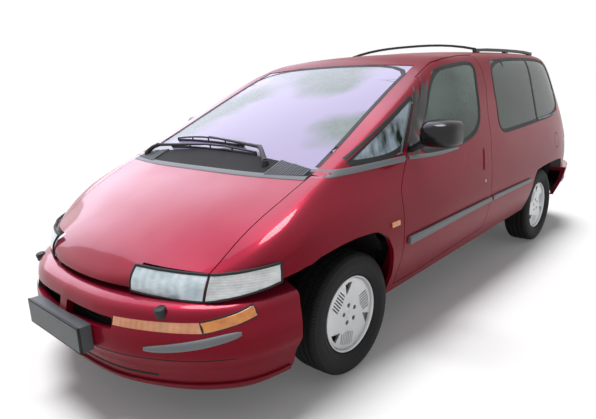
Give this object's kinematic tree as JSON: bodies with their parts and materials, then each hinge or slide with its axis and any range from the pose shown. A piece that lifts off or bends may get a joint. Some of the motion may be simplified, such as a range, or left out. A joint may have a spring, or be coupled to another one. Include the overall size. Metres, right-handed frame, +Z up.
{
  "type": "minivan",
  "caption": "Low-nosed minivan with a long sloping windscreen, hinged front doors, hood and tailgate, steered front wheels and free-turning road wheels.",
  "frame": {"origin": "on the ground under the middle of the bounding box, on the vehicle's middle plane", "axes": "+X forward, +Y to the vehicle's left, +Z up"},
  "size_m": [4.99, 2.245, 1.7165],
  "materials": {
    "body_paint": "gloss metallic with clear coat",
    "black_plastic": "matte",
    "clear_glass": "clear",
    "dark_glass": "tinted",
    "lamp_glass": "clear ribbed",
    "amber_lens": "gloss",
    "red_lens": "gloss",
    "grey_moulding": "satin",
    "tyre": "matte",
    "alloy": "satin",
    "seat_cloth": "woven",
    "cast_iron": "rough",
    "rack_metal": "satin",
    "aluminium": "satin",
    "chassis_paint": "matte"
  },
  "bodies": {
    "body": {"side_left": "body_paint", "side_right": "body_paint", "roof_panel": "body_paint", "fender_left": "body_paint", "fender_right": "body_paint", "front_fascia": "body_paint", "rear_bumper": "body_paint", "cowl_panel": "black_plastic", "sliding_door": "body_paint", "windscreen": "clear_glass", "fixed_glass": "dark_glass", "headlamps": "lamp_glass", "corner_lamps": "lamp_glass", "indicator_lamps": "amber_lens", "tail_lamps": "red_lens", "floor_pan": "chassis_paint", "engine_block": "cast_iron", "radiator": "aluminium", "subframe": "chassis_paint", "fuel_tank": "chassis_paint", "exhaust": "chassis_paint", "rear_axle": "cast_iron", "dashboard": "black_plastic", "steering_column": "black_plastic", "front_seats": "seat_cloth", "second_seats": "seat_cloth", "third_seat": "seat_cloth", "seat_bases": "chassis_paint", "side_mouldings": "grey_moulding", "roof_rack": "rack_metal", "plate_holder": "black_plastic", "wipers": "black_plastic"},
    "hood": {"hood": "body_paint"},
    "tailgate": {"tailgate": "body_paint", "tailgate_glass": "dark_glass"},
    "door_left": {"door_left": "body_paint", "door_glass_left": "clear_glass", "door_moulding_left": "grey_moulding", "mirror_left": "black_plastic"},
    "door_right": {"door_right": "body_paint", "door_glass_right": "clear_glass", "door_moulding_right": "grey_moulding", "mirror_right": "black_plastic"},
    "fuel_flap": {"fuel_flap": "body_paint"},
    "knuckle_left": {"knuckle_left": "cast_iron"},
    "knuckle_right": {"knuckle_right": "cast_iron"},
    "wheel_front_left": {"wheel_front_left": "alloy", "tyre_front_left": "tyre"},
    "wheel_front_right": {"wheel_front_right": "alloy", "tyre_front_right": "tyre"},
    "wheel_rear_left": {"wheel_rear_left": "alloy", "tyre_rear_left": "tyre"},
    "wheel_rear_right": {"wheel_rear_right": "alloy", "tyre_rear_right": "tyre"},
    "steering_wheel": {"steering_wheel": "black_plastic"}
  },
  "joints": [
    {"name": "door_left_hinge", "type": "hinge", "parent": "body", "child": "door_left", "pos_m": [0.976, 0.936, 0.8], "axis": [0, 0, -1], "range_deg": [0, 65]},
    {"name": "door_right_hinge", "type": "hinge", "parent": "body", "child": "door_right", "pos_m": [0.976, -0.936, 0.8], "axis": [0, 0, 1], "range_deg": [0, 65]},
    {"name": "hood_hinge", "type": "hinge", "parent": "body", "child": "hood", "pos_m": [1.534, 0, 1.042], "axis": [0, -1, 0], "range_deg": [0, 50]},
    {"name": "tailgate_hinge", "type": "hinge", "parent": "body", "child": "tailgate", "pos_m": [-2.02156, 0, 1.6185], "axis": [0, 1, 0], "range_deg": [0, 80]},
    {"name": "fuel_flap_hinge", "type": "hinge", "parent": "body", "child": "fuel_flap", "pos_m": [-1.55506, 0.9216, 0.8765], "axis": [0, 0, -1], "range_deg": [0, 80]},
    {"name": "steer_left", "type": "hinge", "parent": "body", "child": "knuckle_left", "pos_m": [1.37, 0.74852, 0.24172], "axis": [0, -0.306, 0.952], "range_deg": [-32, 32]},
    {"name": "steer_right", "type": "hinge", "parent": "body", "child": "knuckle_right", "pos_m": [1.37, -0.74852, 0.24172], "axis": [0, 0.306, 0.952], "range_deg": [-32, 32]},
    {"name": "spin_front_left", "type": "hinge", "parent": "knuckle_left", "child": "wheel_front_left", "pos_m": [1.37, 0.78, 0.3185], "axis": [0, 1, 0], "continuous": true},
    {"name": "spin_front_right", "type": "hinge", "parent": "knuckle_right", "child": "wheel_front_right", "pos_m": [1.37, -0.78, 0.3185], "axis": [0, 1, 0], "continuous": true},
    {"name": "spin_rear_left", "type": "hinge", "parent": "body", "child": "wheel_rear_left", "pos_m": [-1.419, 0.767, 0.3185], "axis": [0, 1, 0], "continuous": true},
    {"name": "spin_rear_right", "type": "hinge", "parent": "body", "child": "wheel_rear_right", "pos_m": [-1.419, -0.767, 0.3185], "axis": [0, 1, 0], "continuous": true},
    {"name": "steering_wheel_turn", "type": "hinge", "parent": "body", "child": "steering_wheel", "pos_m": [0.84009, 0.39795, 0.8632], "axis": [-0.8829, 0, 0.4695], "range_deg": [-480, 480]}
  ],
  "couplings": [
    {"joint": "steer_right", "follows": "steer_left", "ratio": 1},
    {"joint": "steering_wheel_turn", "follows": "steer_left", "ratio": 15}
  ]
}
